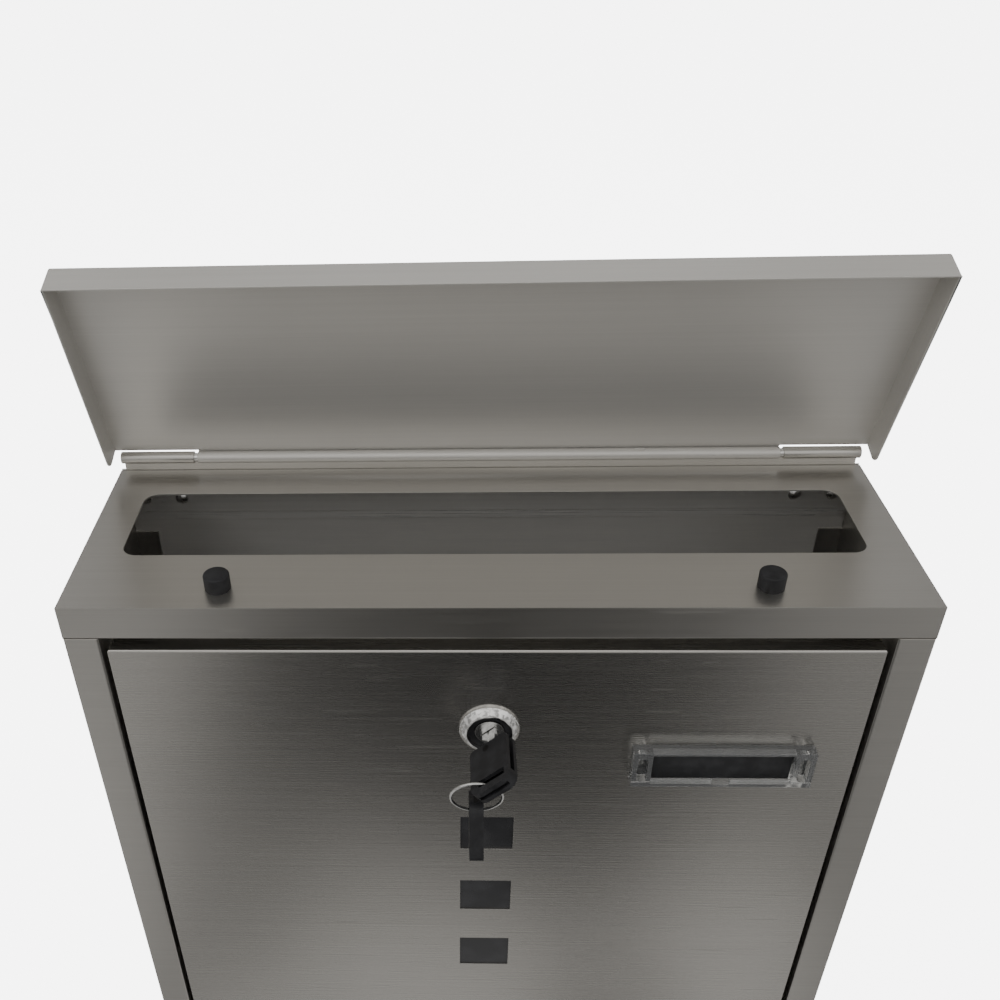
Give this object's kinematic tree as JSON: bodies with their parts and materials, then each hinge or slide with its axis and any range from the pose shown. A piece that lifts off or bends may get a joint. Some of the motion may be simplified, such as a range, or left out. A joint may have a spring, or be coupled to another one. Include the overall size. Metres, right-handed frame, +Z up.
{
  "type": "wall letterbox",
  "caption": "Wall letterbox in folded stainless sheet: hinged lid over a posting slot, drop-down locked front door with viewing windows and a name-plate frame, folding keys on a ring",
  "frame": {"origin": "centre of the four wall-fixing holes, on the back face", "axes": "X across the width (right is +X seen from the front), +Y into the wall (the front faces -Y), +Z up; the lid is stored open"},
  "size_m": [0.3728, 0.1588, 0.4684],
  "materials": {
    "brushed_stainless": "fine horizontal brushed grain, satin",
    "plated_steel": "bright plated",
    "zinc_steel": "dull zinc",
    "black_rubber": "matt",
    "black_plastic": "fine satin texture",
    "black_card": "smooth blank card",
    "smoked_acrylic": "smoked, polished",
    "clear_plastic": "clear moulded",
    "brass": "stamped"
  },
  "bodies": {
    "body": {"back_panel": "brushed_stainless", "left_side": "brushed_stainless", "right_side": "brushed_stainless", "top_cap": "brushed_stainless", "bottom_panel": "brushed_stainless", "hinge_strip": "brushed_stainless", "hinge_rivets": "plated_steel", "hinge_wire": "plated_steel", "lid_buffer_left": "black_rubber", "lid_buffer_right": "black_rubber", "door_pivot_left": "plated_steel", "door_pivot_right": "plated_steel"},
    "lid": {"lid": "brushed_stainless"},
    "door": {"door": "brushed_stainless", "window_pane": "smoked_acrylic", "pane_clips": "zinc_steel", "name_frame": "clear_plastic", "name_card": "black_card", "lock_housing": "plated_steel", "lock_guard": "black_plastic", "lock_washer": "plated_steel", "lock_nut": "plated_steel"},
    "plug": {"lock_plug": "plated_steel", "lock_wafers": "brass", "lock_cam": "zinc_steel", "cam_screw": "plated_steel"},
    "key": {"key_blade": "plated_steel"},
    "key_grip": {"key_pin": "plated_steel", "key_handle": "black_plastic"},
    "ring": {"key_ring": "plated_steel"},
    "spare_grip": {"spare_handle": "black_plastic", "spare_pin": "plated_steel"},
    "spare_key": {"spare_blade": "plated_steel"}
  },
  "joints": [
    {"name": "lid_hinge", "type": "hinge", "parent": "body", "child": "lid", "pos_m": [0, -0.0038, 0.1835], "axis": [-1, 0, 0], "range_deg": [-74.7, 16.5]},
    {"name": "door_hinge", "type": "hinge", "parent": "body", "child": "door", "pos_m": [0, -0.108, -0.1466], "axis": [1, 0, 0], "range_deg": [0, 113]},
    {"name": "lock_turn", "type": "hinge", "parent": "door", "child": "plug", "pos_m": [0, -0.115, 0.105], "axis": [0, -1, 0], "range_deg": [-42, 48]},
    {"name": "key_withdraw", "type": "slide", "parent": "plug", "child": "key", "axis": [0, -1, 0], "range_m": [0, 0.02]},
    {"name": "key_fold", "type": "hinge", "parent": "key", "child": "key_grip", "pos_m": [0, -0.1298, 0.105], "axis": [-0.6691, 0, 0.7431], "range_deg": [0, 30]},
    {"name": "ring_swing", "type": "hinge", "parent": "key_grip", "child": "ring", "pos_m": [-0.00628, -0.14886, 0.10513], "axis": [1, 0, 0], "range_deg": [-24, 8]},
    {"name": "spare_swing", "type": "hinge", "parent": "ring", "child": "spare_grip", "pos_m": [-0.00628, -0.14375, 0.08301], "axis": [1, 0, 0], "range_deg": [-25, 25]},
    {"name": "spare_fold", "type": "hinge", "parent": "spare_grip", "child": "spare_key", "pos_m": [-0.00628, -0.1501, 0.06474], "axis": [-1, 0, 0], "range_deg": [0, 180]}
  ]
}
